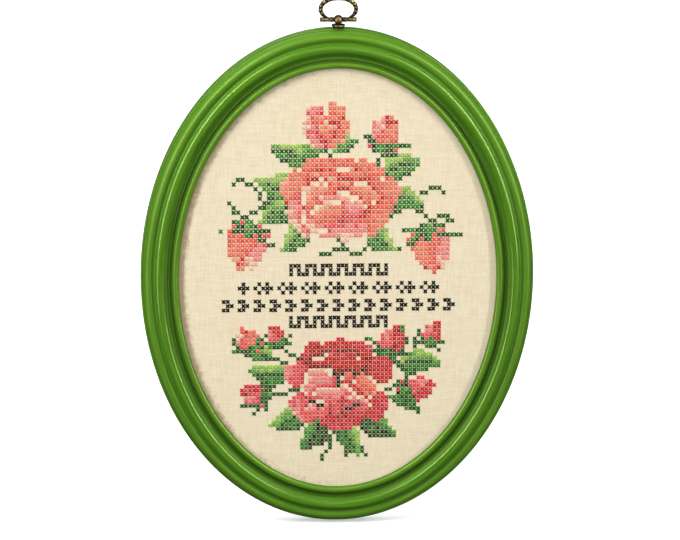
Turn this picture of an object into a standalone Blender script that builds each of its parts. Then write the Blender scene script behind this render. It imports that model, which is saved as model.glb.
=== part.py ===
"""Oval framed cross stitch sampler, hung by a ring on a ball post.

The piece stands upright in the XZ plane with its front towards -Y. The origin
is the top of the ring's inside, where a hook would carry it, so the frame
hangs below. All sizes are in metres.
"""

import math

import bmesh
import bpy

# The frame: a moulding about one inch wide round the opening for a 9 x 12 inch picture
SIGHT_WIDTH = 0.2159
SIGHT_HEIGHT = 0.2921
MOULDING_WIDTH = 0.0258
RABBET_WIDTH = 0.0040
RABBET_LEVEL = 0.0145
BACK_CHAMFER = 0.0004
BACK_Y = 0.0070
PATH_STEPS = 18

# The cloth: one stretched sheet held behind the rabbet's face
CLOTH_THICKNESS = 0.0016
CLOTH_STEPS = 72
CLOTH_SIDE_GAP = 0.0005
PUCKER_DEPTH = 0.0006
PUCKER_REACH = 0.14
CLOTH_RINGS = (0.965, 0.92, 0.86)

# The hanger: a turned ball post, a pin through its bosses, and a cast ring
RING_REACH = 0.0131
RING_HALF_WIDTH = 0.0119
RING_HALF_HEIGHT = 0.00775
RING_ROD_RADIUS = 0.00145
RING_CROWN_RADIUS = 0.0017
RING_FOOT_RADIUS = 0.0010
RING_FOOT_ANGLE = -55.0
RING_STEPS = 44
BARREL_RADIUS = 0.0015
BARREL_START = 0.0060
BARREL_END = 0.0123
PIN_RADIUS = 0.00055
PIN_HALF_LENGTH = 0.0126
PIN_ROUNDING = 0.0002
BORE_RADIUS = 0.00085
BALL_RADIUS = 0.00315
BALL_LIFT = 0.0060
BALL_END_ANGLE = -48
BOSS_RADIUS = 0.0018
BOSS_HALF_LENGTH = 0.0057
BOSS_ROUNDING = 0.0004
NECK_RADIUS = 0.0024
NECK_HEIGHT = 0.0007
NECK_FLARE = 0.0005
FLANGE_RADIUS = 0.00455
FLANGE_THICKNESS = 0.0013
FOOT_RADIUS = 0.0035
FOOT_HEIGHT = 0.0011
FOOT_FLARE = 0.0002
ROUND_STEPS = 28

SEAT_GAP = 0.0003
MERGE = 0.00001
SMOOTH_ANGLE = 40

# Places worked out from the sizes above
OUTER_HALF_WIDTH = SIGHT_WIDTH / 2 + MOULDING_WIDTH
OUTER_HALF_HEIGHT = SIGHT_HEIGHT / 2 + MOULDING_WIDTH
PIN_Z = -RING_REACH
FRAME_TOP_Z = PIN_Z - BALL_LIFT
FRAME_CENTRE_Z = FRAME_TOP_Z - OUTER_HALF_HEIGHT
RING_CENTRE_Z = PIN_Z + RING_REACH + RING_CROWN_RADIUS - RING_HALF_HEIGHT


def clear_scene():
    """Remove the objects that a new file opens with."""
    for old in list(bpy.data.objects):
        bpy.data.objects.remove(old, do_unlink=True)


def new_collection(name):
    """Make a collection under the scene's own."""
    collection = bpy.data.collections.new(name)
    bpy.context.scene.collection.children.link(collection)
    return collection


def move_to(obj, collection):
    """Keep an object in one collection only."""
    for owner in list(obj.users_collection):
        owner.objects.unlink(obj)
    collection.objects.link(obj)
    return obj


def make_material(name, colour, roughness, metallic):
    """A Principled material of one colour."""
    material = bpy.data.materials.new(name)
    material.use_nodes = True
    shader = material.node_tree.nodes["Principled BSDF"]
    shader.inputs["Base Color"].default_value = (*colour, 1.0)
    shader.inputs["Roughness"].default_value = roughness
    shader.inputs["Metallic"].default_value = metallic
    return material


def make_cutter(obj):
    """Mark a helper body that only shapes another one."""
    obj.hide_render = True
    obj.display_type = "WIRE"
    return move_to(obj, CUTTERS)


def smooth(obj):
    """Shade the round stretches smooth and keep real edges crisp."""
    obj.data.shade_smooth()
    obj.data.set_sharp_from_angle(angle=math.radians(SMOOTH_ANGLE))


def arc(centre_in, centre_up, radius_in, radius_up, start, end, steps):
    """Points of an elliptic arc, both ends included, angles in degrees."""
    points = []
    for step in range(steps + 1):
        angle = math.radians(start + (end - start) * step / steps)
        points.append((centre_in + radius_in * math.cos(angle), centre_up + radius_up * math.sin(angle)))
    return points


def moulding_profile():
    """Section of the frame: distance in from the outer edge, height above the back."""
    wall = [(0.0, BACK_CHAMFER)]
    edge_bead = arc(0.0008, 0.0083, 0.0008, 0.0009, 180, 40, 3)
    broad_band = arc(0.0055, 0.0088, 0.0045, 0.0076, 177, 64, 8)
    valley = [(0.0081, 0.0154), (0.0087, 0.0153), (0.0092, 0.01545)]
    bead = arc(0.0129, 0.0148, 0.0036, 0.0036, 162, 22, 9)
    cove = arc(0.0183, 0.0175, 0.0022, 0.0027, 213, 298, 5)
    quirk = [(0.0198, 0.0144), (0.0206, 0.0143)]
    lip = arc(0.0235, 0.0152, 0.0023, 0.0026, 165, 0, 8)
    rabbet_in = MOULDING_WIDTH - RABBET_WIDTH
    rabbet = [(MOULDING_WIDTH, RABBET_LEVEL), (rabbet_in, RABBET_LEVEL)]
    back = [(rabbet_in, 0.0), (BACK_CHAMFER, 0.0)]
    return wall + edge_bead + broad_band + valley + bead + cove + quirk + lip + rabbet + back


def oval_point(angle, inset):
    """A point of the frame's outer ellipse, moved inwards along its normal."""
    across = OUTER_HALF_WIDTH * math.cos(angle)
    upward = OUTER_HALF_HEIGHT * math.sin(angle)
    normal_across = OUTER_HALF_HEIGHT * math.cos(angle)
    normal_up = OUTER_HALF_WIDTH * math.sin(angle)
    length = math.hypot(normal_across, normal_up)
    return across - inset * normal_across / length, upward - inset * normal_up / length


def build_frame(parts, material):
    """The oval moulding: its section swept round the outer ellipse."""
    section_curve = bpy.data.curves.new("moulding_section", "CURVE")
    section_curve.dimensions = "2D"
    section = section_curve.splines.new("POLY")
    points = moulding_profile()
    section.points.add(len(points) - 1)
    for target, (inward, height) in zip(section.points, points):
        target.co = (inward, height, 0.0, 1.0)
    section.use_cyclic_u = True
    section_object = bpy.data.objects.new("moulding_section", section_curve)
    CUTTERS.objects.link(section_object)
    make_cutter(section_object)

    path = bpy.data.curves.new("frame_moulding", "CURVE")
    path.dimensions = "2D"
    path.fill_mode = "NONE"
    path.resolution_u = PATH_STEPS
    path.render_resolution_u = PATH_STEPS
    path.bevel_mode = "OBJECT"
    path.bevel_object = section_object
    oval = path.splines.new("BEZIER")
    oval.bezier_points.add(3)
    handle = 4.0 / 3.0 * (math.sqrt(2.0) - 1.0)
    for index, knot in enumerate(oval.bezier_points):
        angle = index * math.pi / 2
        across = OUTER_HALF_WIDTH * math.cos(angle)
        upward = OUTER_HALF_HEIGHT * math.sin(angle)
        slope_across = -OUTER_HALF_WIDTH * math.sin(angle) * handle
        slope_up = OUTER_HALF_HEIGHT * math.cos(angle) * handle
        knot.handle_left_type = "FREE"
        knot.handle_right_type = "FREE"
        knot.co = (across, upward, 0.0)
        knot.handle_left = (across - slope_across, upward - slope_up, 0.0)
        knot.handle_right = (across + slope_across, upward + slope_up, 0.0)
    oval.use_cyclic_u = True
    frame = bpy.data.objects.new("frame_moulding", path)
    frame.location = (0.0, BACK_Y, FRAME_CENTRE_Z)
    frame.rotation_euler = (math.pi / 2, 0.0, 0.0)
    path.materials.append(material)
    parts.objects.link(frame)
    return frame


def pucker(angle, share):
    """How far the stretched cloth dips back near its rim, uneven all round."""
    nearness = max(0.0, (share - (1.0 - PUCKER_REACH)) / PUCKER_REACH)
    wave = 0.5 + 0.3 * math.sin(7 * angle + 0.6) + 0.2 * math.sin(13 * angle + 2.1)
    return PUCKER_DEPTH * nearness * nearness * wave


def build_cloth(parts, material):
    """The linen: an oval sheet, flat in the middle and softly puckered at the rim."""
    rim_inset = MOULDING_WIDTH - RABBET_WIDTH + CLOTH_SIDE_GAP
    front_y = BACK_Y - RABBET_LEVEL + SEAT_GAP
    sheet = bmesh.new()
    bmesh.ops.create_circle(sheet, cap_ends=True, segments=CLOTH_STEPS, radius=1.0)
    reached = 1.0
    for share in CLOTH_RINGS:
        core = max(sheet.faces, key=lambda face: len(face.verts))
        corner = math.cos(math.pi / CLOTH_STEPS)
        width = (reached - share) * corner
        bmesh.ops.inset_region(sheet, faces=[core], thickness=width, use_boundary=True)
        reached = share
    for vert in sheet.verts:
        share = math.hypot(vert.co.x, vert.co.y)
        angle = math.atan2(vert.co.y, vert.co.x)
        across, upward = oval_point(angle, rim_inset)
        dip = pucker(angle, share)
        vert.co = (across * share, front_y + dip, FRAME_CENTRE_Z + upward * share)
    bmesh.ops.recalc_face_normals(sheet, faces=sheet.faces)
    if sum(face.normal.y for face in sheet.faces) > 0:
        bmesh.ops.reverse_faces(sheet, faces=sheet.faces)
    mesh = bpy.data.meshes.new("linen_cloth")
    sheet.to_mesh(mesh)
    sheet.free()
    cloth = bpy.data.objects.new("linen_cloth", mesh)
    parts.objects.link(cloth)
    thickness = cloth.modifiers.new("thickness", "SOLIDIFY")
    thickness.thickness = CLOTH_THICKNESS
    thickness.offset = -1.0
    mesh.materials.append(material)
    smooth(cloth)
    return cloth


def cylinder_along_x(name, radius, start, end):
    """A plain rod along X on the pin's axis."""
    bpy.ops.mesh.primitive_cylinder_add(
        vertices=ROUND_STEPS,
        radius=radius,
        depth=end - start,
        location=((start + end) / 2, 0.0, PIN_Z),
        rotation=(0.0, math.pi / 2, 0.0),
    )
    rod = bpy.context.active_object
    rod.name = name
    return rod


def add_boolean(obj, tool, operation):
    """Cut or join a helper body; both keep their own modifiers."""
    step = obj.modifiers.new(tool.name, "BOOLEAN")
    step.operation = operation
    step.solver = "EXACT"
    step.object = tool


def build_post(parts, material, bore):
    """The turned post: foot, flange, neck and ball, with bosses for the pin."""
    foot_z = FRAME_TOP_Z + SEAT_GAP
    flange_low = foot_z + FOOT_HEIGHT
    flange_high = flange_low + FLANGE_THICKNESS
    neck_z = flange_high + NECK_HEIGHT
    outline = arc(0.0, PIN_Z, BALL_RADIUS, BALL_RADIUS, 90, BALL_END_ANGLE, 9)
    outline[0] = (0.0, PIN_Z + BALL_RADIUS)
    outline += [(NECK_RADIUS, neck_z), (NECK_RADIUS + NECK_FLARE, flange_high)]
    edge = FLANGE_THICKNESS / 2
    outline += arc(FLANGE_RADIUS - edge, flange_low + edge, edge, edge, 80, -80, 4)
    outline += [(FOOT_RADIUS, flange_low), (FOOT_RADIUS + FOOT_FLARE, foot_z), (0.0, foot_z)]
    mesh = bpy.data.meshes.new("hanger_post")
    turned = bmesh.new()
    chain = [turned.verts.new((radius, 0.0, height)) for radius, height in outline]
    for upper, lower in zip(chain, chain[1:]):
        turned.edges.new((upper, lower))
    turned.to_mesh(mesh)
    turned.free()
    post = bpy.data.objects.new("hanger_post", mesh)
    parts.objects.link(post)
    turn = post.modifiers.new("turn", "SCREW")
    turn.steps = ROUND_STEPS
    turn.render_steps = ROUND_STEPS
    turn.use_merge_vertices = True
    turn.merge_threshold = MERGE
    boss = make_cutter(cylinder_along_x("post_boss", BOSS_RADIUS, -BOSS_HALF_LENGTH, BOSS_HALF_LENGTH))
    rounding = boss.modifiers.new("rounded_edge", "BEVEL")
    rounding.width = BOSS_ROUNDING
    rounding.segments = 2
    add_boolean(post, boss, "UNION")
    add_boolean(post, bore, "DIFFERENCE")
    mesh.materials.append(material)
    return post


def ring_rod():
    """The ring's rod as a curve: thin feet, full sides and a heavier crown."""
    curve = bpy.data.curves.new("ring_rod", "CURVE")
    curve.dimensions = "3D"
    curve.bevel_depth = RING_ROD_RADIUS
    curve.bevel_resolution = 3
    curve.use_fill_caps = True
    rod = curve.splines.new("POLY")
    rod.points.add(RING_STEPS)
    sweep = 180.0 - 2.0 * RING_FOOT_ANGLE
    for index, point in enumerate(rod.points):
        degrees = RING_FOOT_ANGLE + sweep * index / RING_STEPS
        angle = math.radians(degrees)
        across = RING_HALF_WIDTH * math.cos(angle)
        upward = RING_CENTRE_Z + RING_HALF_HEIGHT * math.sin(angle)
        point.co = (across, 0.0, upward, 1.0)
        rise = math.sin(angle)
        if rise > 0.0:
            radius = RING_ROD_RADIUS + (RING_CROWN_RADIUS - RING_ROD_RADIUS) * rise * rise
        else:
            fall = rise / math.sin(math.radians(RING_FOOT_ANGLE))
            radius = RING_ROD_RADIUS + (RING_FOOT_RADIUS - RING_ROD_RADIUS) * fall * fall
        point.radius = radius / RING_ROD_RADIUS
    return bpy.data.objects.new("ring_rod", curve)


def build_ring(parts, material, bore):
    """The cast ring with a barrel at each foot, bored for the pin."""
    rod = ring_rod()
    parts.objects.link(rod)
    bpy.context.view_layer.update()
    evaluated = rod.evaluated_get(bpy.context.evaluated_depsgraph_get())
    mesh = bpy.data.meshes.new_from_object(evaluated)
    welded = bmesh.new()
    welded.from_mesh(mesh)
    bmesh.ops.remove_doubles(welded, verts=welded.verts, dist=MERGE)
    bmesh.ops.recalc_face_normals(welded, faces=welded.faces)
    welded.to_mesh(mesh)
    welded.free()
    ring = bpy.data.objects.new("hanger_ring", mesh)
    ring.matrix_world = rod.matrix_world
    parts.objects.link(ring)
    bpy.data.objects.remove(rod, do_unlink=True)
    for side, start, end in (("left", -BARREL_END, -BARREL_START), ("right", BARREL_START, BARREL_END)):
        barrel = make_cutter(cylinder_along_x("ring_barrel_" + side, BARREL_RADIUS, start, end))
        add_boolean(ring, barrel, "UNION")
    add_boolean(ring, bore, "DIFFERENCE")
    mesh.materials.clear()
    mesh.materials.append(material)
    return ring


def build_pin(parts, material):
    """The pin that runs through the ring's barrels and the post's bosses."""
    pin = move_to(cylinder_along_x("hanger_pin", PIN_RADIUS, -PIN_HALF_LENGTH, PIN_HALF_LENGTH), parts)
    rounding = pin.modifiers.new("domed_ends", "BEVEL")
    rounding.width = PIN_ROUNDING
    rounding.segments = 2
    rounding.limit_method = "ANGLE"
    pin.data.materials.append(material)
    smooth(pin)
    return pin


clear_scene()
PARTS = new_collection("framed_cross_stitch_sampler")
CUTTERS = new_collection("cutters")

GREEN_LACQUER = make_material("green_lacquer", (0.085, 0.235, 0.018), 0.30, 0.0)
CREAM_LINEN = make_material("cream_linen", (0.82, 0.70, 0.51), 0.90, 0.0)
OLD_BRASS = make_material("old_brass", (0.20, 0.13, 0.055), 0.38, 1.0)

PIN_BORE = make_cutter(cylinder_along_x("pin_bore", BORE_RADIUS, -2 * BARREL_END, 2 * BARREL_END))
build_frame(PARTS, GREEN_LACQUER)
build_cloth(PARTS, CREAM_LINEN)
build_post(PARTS, OLD_BRASS, PIN_BORE)
build_ring(PARTS, OLD_BRASS, PIN_BORE)
build_pin(PARTS, OLD_BRASS)
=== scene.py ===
"""Looks of the framed cross stitch sampler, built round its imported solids.

Everything is in metres in the solids' own frame: X to the right, Z up, the
front of the picture towards -Y, and the origin at the top of the ring's inside.
"""

import math
import random

import bmesh
import bpy
import numpy as np
from mathutils import Matrix, Vector


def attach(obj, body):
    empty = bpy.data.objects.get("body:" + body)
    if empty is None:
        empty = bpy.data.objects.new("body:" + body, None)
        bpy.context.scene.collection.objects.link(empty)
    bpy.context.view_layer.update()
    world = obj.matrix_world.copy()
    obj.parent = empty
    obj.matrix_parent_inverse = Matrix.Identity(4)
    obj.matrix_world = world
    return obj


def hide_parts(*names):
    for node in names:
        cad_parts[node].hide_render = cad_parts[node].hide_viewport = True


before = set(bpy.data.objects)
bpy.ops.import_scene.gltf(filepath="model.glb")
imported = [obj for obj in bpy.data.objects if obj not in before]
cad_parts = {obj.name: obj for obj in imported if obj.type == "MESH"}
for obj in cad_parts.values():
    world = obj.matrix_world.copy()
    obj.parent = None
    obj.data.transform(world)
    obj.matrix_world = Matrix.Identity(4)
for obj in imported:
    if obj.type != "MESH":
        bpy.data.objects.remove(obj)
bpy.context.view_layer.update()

# Sizes that the solids share
SIGHT_WIDTH = 0.2159
SIGHT_HEIGHT = 0.2921
MOULDING_WIDTH = 0.0258
RABBET_WIDTH = 0.0040
RABBET_LEVEL = 0.0145
SEAT_GAP = 0.0003
BACK_Y = 0.0070
HALF_WIDTH = SIGHT_WIDTH / 2 + MOULDING_WIDTH
HALF_HEIGHT = SIGHT_HEIGHT / 2 + MOULDING_WIDTH
PIN_Z = -0.0131
BALL_LIFT = 0.0060
FRAME_TOP_Z = PIN_Z - BALL_LIFT
CENTRE_Z = FRAME_TOP_Z - HALF_HEIGHT
CLOTH_Y = BACK_Y - RABBET_LEVEL + SEAT_GAP
FLOOR_Z = CENTRE_Z - HALF_HEIGHT

# The camera, fitted to the oval's outline in the photograph
IMAGE_WIDTH = 680
IMAGE_HEIGHT = 540
CAMERA_AZIMUTH = -3.0
CAMERA_ELEVATION = 13.7
CAMERA_ROLL = 0.24
CAMERA_DISTANCE = 3.0
PIXELS_PER_METRE = 1469.5
OVAL_CENTRE_PX = (337.3, 276.92)
SENSOR = 36.0

HALF_TURN = math.pi
FULL_TURN = 2.0 * math.pi


# Small helpers

def srgb(red, green, blue):
    """A colour given in screen values, as the linear one that shaders use."""
    shares = [level / 255.0 for level in (red, green, blue)]
    return tuple(((share + 0.055) / 1.055) ** 2.4 if share > 0.04 else share / 12.92 for share in shares)


def rows(columns, table):
    """A table's rows as dictionaries keyed by its named columns."""
    return [dict(zip(columns, row)) for row in table]


def arc(centre_in, centre_up, radius_in, radius_up, start, end, steps):
    """Points of an elliptic arc, both ends included, angles in degrees."""
    points = []
    for step in range(steps + 1):
        angle = math.radians(start + (end - start) * step / steps)
        points.append((centre_in + radius_in * math.cos(angle), centre_up + radius_up * math.sin(angle)))
    return points


def ease(value):
    """A smooth step from 0 to 1."""
    value = max(0.0, min(1.0, value))
    return value * value * (3.0 - 2.0 * value)


def oval_point(angle, inset):
    """A point of the frame's outer ellipse, moved inwards along its normal."""
    across = HALF_WIDTH * math.cos(angle)
    upward = HALF_HEIGHT * math.sin(angle)
    normal_across = HALF_HEIGHT * math.cos(angle)
    normal_up = HALF_WIDTH * math.sin(angle)
    length = math.hypot(normal_across, normal_up)
    return across - inset * normal_across / length, upward - inset * normal_up / length


def finish_piece(name, shape, finish, smooth_angle=None):
    """Turn a bmesh into a piece at the origin that rides on the one body."""
    mesh = bpy.data.meshes.new(name)
    shape.to_mesh(mesh)
    shape.free()
    mesh.materials.append(finish)
    mesh.shade_smooth()
    if smooth_angle is not None:
        mesh.set_sharp_from_angle(angle=math.radians(smooth_angle))
    piece = bpy.data.objects.new(name, mesh)
    bpy.context.scene.collection.objects.link(piece)
    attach(piece, "root")
    return piece


def point_attribute(mesh, name, values):
    """Store a vector for each point, for a material to read."""
    attribute = mesh.attributes.new(name, "FLOAT_VECTOR", "POINT")
    attribute.data.foreach_set("vector", np.asarray(values, np.float32).ravel())


# Materials

class Wire:
    """A shader socket on which arithmetic adds Math nodes."""

    def __init__(self, paint, socket):
        self.paint = paint
        self.socket = socket

    def sum(self, operation, first, second):
        return self.paint.node("ShaderNodeMath", {"operation": operation}, {0: first, 1: second})

    def __add__(self, other):
        return self.sum("ADD", self, other)

    __radd__ = __add__

    def __sub__(self, other):
        return self.sum("SUBTRACT", self, other)

    def __rsub__(self, other):
        return self.sum("SUBTRACT", other, self)

    def __mul__(self, other):
        return self.sum("MULTIPLY", self, other)

    __rmul__ = __mul__

    def sine(self):
        return self.sum("SINE", self, 0.0)


class Paint:
    """A node material in the making."""

    def __init__(self, name, constants):
        self.material = bpy.data.materials.new(name)
        self.material.use_nodes = True
        self.tree = self.material.node_tree
        self.shader = self.tree.nodes["Principled BSDF"]
        for socket, value in constants.items():
            self.shader.inputs[socket].default_value = value

    def node(self, kind, settings=None, sockets=None, out=0):
        """Add a node: its settings first, then the values or links of its sockets."""
        made = self.tree.nodes.new(kind)
        for key, value in (settings or {}).items():
            setattr(made, key, value)
        for key, value in (sockets or {}).items():
            if isinstance(value, Wire):
                self.tree.links.new(value.socket, made.inputs[key])
            else:
                made.inputs[key].default_value = value
        return Wire(self, made.outputs[out])

    def coordinates(self):
        """The piece's own coordinates, in metres."""
        return self.node("ShaderNodeTexCoord", out="Object")

    def stored(self, name):
        """A vector stored on the piece's points."""
        return self.node("ShaderNodeAttribute", {"attribute_name": name}, out="Vector")

    def parts(self, vector):
        """A vector's three numbers."""
        split = self.tree.nodes.new("ShaderNodeSeparateXYZ")
        self.tree.links.new(vector.socket, split.inputs[0])
        return [Wire(self, split.outputs[i]) for i in range(3)]

    def scaled(self, vector, scale):
        """A vector stretched along its axes."""
        sockets = {"Vector": vector, "Scale": scale}
        return self.node("ShaderNodeMapping", {"vector_type": "POINT"}, sockets)

    def noise(self, vector, scale, detail=2.0, roughness=0.5):
        sockets = {"Vector": vector, "Scale": scale, "Detail": detail, "Roughness": roughness}
        return self.node("ShaderNodeTexNoise", None, sockets, out="Fac")

    def spread(self, value, low, high, to_low=0.0, to_high=1.0):
        """A value's range from low to high laid over another range, and held at its ends."""
        sockets = {"Value": value, "From Min": low, "From Max": high, "To Min": to_low, "To Max": to_high}
        return self.node("ShaderNodeMapRange", {"clamp": True}, sockets)

    def blend(self, factor, first, second):
        """A mix of two colours."""
        sockets = {0: factor, 6: opaque(first), 7: opaque(second)}
        return self.node("ShaderNodeMix", {"data_type": "RGBA", "blend_type": "MIX"}, sockets, out=2)

    def bump(self, height, strength, distance):
        sockets = {"Height": height, "Strength": strength, "Distance": distance}
        return self.node("ShaderNodeBump", None, sockets, out="Normal")

    def connect(self, socket, wire):
        self.tree.links.new(wire.socket, self.shader.inputs[socket])


def opaque(colour):
    """Give a plain colour its alpha; a wire passes as it is."""
    return colour if isinstance(colour, Wire) else (*colour, 1.0)


def green_lacquer():
    """Green lacquer over wood: satin and streaked, polished on the beads, with dark glaze and painted shade
    in the quirks and cove, and lighter rubbed paint with a painted sheen on the crests.
    """
    paint = Paint("green_lacquer", {
        "IOR": 1.5,
        "Specular IOR Level": 0.40,
        "Specular Tint": (0.76, 1.0, 0.30, 1.0),
        "Coat Roughness": 0.10,
    })
    grain = paint.stored("grain")
    _, _, across = paint.parts(grain)
    glaze_and_shade, wear_and_highlight, polish = paint.parts(paint.stored("glaze_and_shade"))
    streaks = paint.noise(paint.scaled(grain, (1.0, 1.0, 45.0)), 22.0, 4.0, 0.62)
    clouds = paint.noise(paint.scaled(grain, (1.0, 1.0, 6.0)), 14.0, 2.0, 0.5)
    base = paint.blend(paint.spread(streaks, 0.32, 0.68), (0.050, 0.174, 0.006), (0.080, 0.232, 0.009))
    base = paint.blend(paint.spread(across, 0.026, 0.034, 0.0, 0.35), base, (0.105, 0.235, 0.004))
    base = paint.blend(paint.spread(clouds, 0.4, 0.75, 0.0, 0.45), base, (0.055, 0.165, 0.008))
    # Lighter paint on the crests: rubbed paint with a painted sheen.
    base = paint.blend(wear_and_highlight * paint.spread(streaks, 0.45, 0.6, 0.15, 0.5), base, (0.150, 0.310, 0.022))
    # Dark glaze with painted shade in the grooves, the shaded cove, the quirk and beside the lip.
    base = paint.blend(glaze_and_shade * paint.spread(clouds, 0.3, 0.7, 0.95, 0.75), base, (0.012, 0.050, 0.001))
    paint.connect("Base Color", base)
    satin = paint.spread(streaks, 0.3, 0.7, 0.40, 0.52)
    paint.connect("Roughness", satin - polish * 0.27 + glaze_and_shade * 0.3)
    paint.connect("Coat Weight", polish * 0.26)
    paint.connect("Normal", paint.bump(streaks, 0.15, 0.0003))
    return paint.material


def cream_linen():
    """Plain woven linen: uneven warp and weft, each thread a little lighter or darker."""
    paint = Paint("cream_linen", {"Roughness": 0.94, "Specular IOR Level": 0.2})
    place = paint.coordinates()
    across, _, upward = paint.parts(place)
    wander = paint.noise(place, 90.0, 2.0) * 1.6
    weave = (across * THREAD_TURN + wander).sine() * (upward * THREAD_TURN + wander).sine() * 0.5 + 0.5
    upright = paint.noise(paint.scaled(place, (1.0, 1.0, 0.09)), 1150.0, 2.0)
    level = paint.noise(paint.scaled(place, (0.09, 1.0, 1.0)), 1150.0, 2.0)
    slubs = (upright + level) * 0.5
    broad = paint.noise(place, 24.0, 3.0)
    base = paint.blend(paint.spread(slubs, 0.36, 0.64), LINEN_DEEP, LINEN_PALE)
    base = paint.blend(paint.spread(weave, 0.0, 1.0, 0.20, 0.0), base, LINEN_GAP)
    base = paint.blend(paint.spread(broad, 0.35, 0.7, 0.0, 0.20), base, LINEN_DEEP)
    # A brown stain and a painted shadow of the lip along the linen's rim, heavier on the left, mottled by
    # noise.
    rim = paint.node("ShaderNodeAttribute", {"attribute_name": "rim"}, out="Fac")
    mottle = paint.noise(place, 260.0, 3.0, 0.6)
    stain_and_shadow = paint.spread(rim * 1.9 + mottle * 2.6 - 1.75, 0.0, 1.2, 0.0, 0.66)
    base = paint.blend(stain_and_shadow, base, LINEN_STAIN_AND_SHADOW)
    paint.connect("Base Color", base)
    paint.connect("Normal", paint.bump(weave * 0.6 + slubs * 0.9, 0.5, 0.00018))
    return paint.material


def cotton_floss(name, colour):
    """Stranded cotton: two plies side by side, with a soft sheen painted along each leg as lighter ply
    stripes.
    """
    paint = Paint(name, {"Roughness": 0.62, "Specular IOR Level": 0.05})
    along, across, chance = paint.parts(paint.stored("ply"))
    plies = (across * 9.0 + along * 5.0).sine() * 0.5 + 0.5
    deep = tuple(c * 0.92 for c in colour)
    pale = tuple(min(1.0, c * 1.38 + 0.008) for c in colour)
    # Lighter ply stripes are a painted sheen; the random share gives each cross its own tone.
    base = paint.blend(plies * 0.55 + chance * 0.45, deep, pale)
    paint.connect("Base Color", base)
    paint.connect("Normal", paint.bump(plies, 0.5, 0.00012))
    return paint.material


def old_brass():
    """Antique brass: dark patina in the recesses and painted shade on the sides turned from the front,
    bright from wear on the high spots and from a painted highlight on faces turned to the front.
    """
    paint = Paint("old_brass", {"IOR": 1.5, "Specular IOR Level": 0.15})
    place = paint.coordinates()
    wear_and_highlight = paint.node("ShaderNodeAttribute", {"attribute_name": "wear_and_highlight"}, out="Fac")
    specks = paint.noise(place, 1500.0, 3.0, 0.6)
    patches = paint.noise(place, 420.0, 2.0)
    # Bright where worn and where a highlight is painted on faces turned to the front; dark patina in hollows
    # and painted shade on the sides turned away.
    wear_and_highlight_mix = paint.spread(wear_and_highlight + (patches - 0.5) * 0.6 + (specks - 0.5) * 0.5, 0.2, 0.85)
    paint.connect("Base Color", paint.blend(wear_and_highlight_mix, PATINA_AND_SHADE, BRIGHT_BRASS))
    paint.connect("Metallic", paint.spread(wear_and_highlight_mix, 0.0, 0.6, 0.35, 1.0))
    paint.connect("Roughness", paint.spread(wear_and_highlight_mix, 0.0, 1.0, 0.50, 0.33))
    paint.connect("Normal", paint.bump(specks, 0.3, 0.00008))
    return paint.material


def pale_ground():
    """The plain pale floor, faintly lit from below as a light table is."""
    paint = Paint("pale_ground", {
        "Roughness": 0.9,
        "Specular IOR Level": 0.1,
        "Emission Strength": 0.42,
        "Emission Color": (1.0, 1.0, 1.0, 1.0),
    })
    soft = paint.noise(paint.coordinates(), 3.0, 2.0)
    paint.connect("Base Color", paint.blend(soft, (0.88, 0.88, 0.88), (0.92, 0.92, 0.92)))
    return paint.material


LINEN_PALE = srgb(246, 235, 207)
LINEN_DEEP = srgb(232, 216, 181)
LINEN_GAP = srgb(200, 177, 137)
# Brown of the rim's stain and painted lip shadow.
LINEN_STAIN_AND_SHADOW = srgb(158, 132, 88)
# Dark brass: patina, and painted shade on the sides turned away from the front.
PATINA_AND_SHADE = srgb(24, 16, 7)
# Bright brass: wear on the high spots, and painted highlights.
BRIGHT_BRASS = srgb(190, 160, 104)
THREAD_PITCH = 0.00062
THREAD_TURN = FULL_TURN / (2.0 * THREAD_PITCH)


# The moulding

MOULDING_STEPS = 288
MOULDING_SMOOTH_ANGLE = 50
MOULDING_MERGE = 1e-7
GRAIN_CLIMB = 0.6
BACK_HEIGHT = 0.006
SIDE_DEPTH = 0.010
# Where the dark glaze and painted shade lie across the moulding: the outer edge, the valley, the shaded
# cove, the quirk and the lip's edge beside the cloth.
GROOVES = rows(("inward", "reach", "depth"), (
    (0.0000, 0.0003, 0.20),
    (0.0084, 0.0015, 0.15),
    (0.0182, 0.0022, 0.40),
    (0.0206, 0.0012, 0.85),
    (0.0258, 0.0003, 0.60),
))
# Where the lighter paint lies: rubbed paint and a painted sheen on the edge, the broad band, the bead and
# the lip.
HIGH_SPOTS = rows(("inward", "reach"), (
    (0.0014, 0.0013),
    (0.0042, 0.0022),
    (0.0127, 0.0014),
    (0.0236, 0.0012),
))
POLISHED = rows(("inward", "reach", "depth"), (
    (0.0131, 0.0020, 1.0),
    (0.0240, 0.0010, 0.45),
))


def nearest(table, inward):
    """How strongly the closest of a table's lines acts at a place across the moulding."""
    return max(
        row.get("depth", 1.0) * math.exp(-((inward - row["inward"]) / row["reach"]) ** 2) for row in table
    )


def moulding_profile():
    """Section of the frame: distance in from the outer edge, height above the back."""
    wall = [(0.0, 0.0004), (0.0, 0.0040)]
    edge_bead = arc(0.0008, 0.0083, 0.0008, 0.0009, 180, 40, 7)
    broad_band = arc(0.0055, 0.0088, 0.0045, 0.0076, 177, 64, 22)
    valley = [(0.0081, 0.0154), (0.0087, 0.0153), (0.0092, 0.01545)]
    bead = arc(0.0129, 0.0148, 0.0036, 0.0036, 162, 22, 22)
    cove = arc(0.0183, 0.0175, 0.0022, 0.0027, 213, 298, 10)
    quirk = [(0.0196, 0.0149), (0.0198, 0.0144), (0.0205, 0.0143), (0.0208, 0.0147)]
    lip = arc(0.0235, 0.0152, 0.0023, 0.0026, 165, 0, 18)
    rabbet_in = MOULDING_WIDTH - RABBET_WIDTH
    back = [(MOULDING_WIDTH, RABBET_LEVEL), (rabbet_in, RABBET_LEVEL), (rabbet_in, 0.0), (0.0004, 0.0)]
    return wall + edge_bead + broad_band + valley + bead + cove + quirk + lip + back


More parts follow.
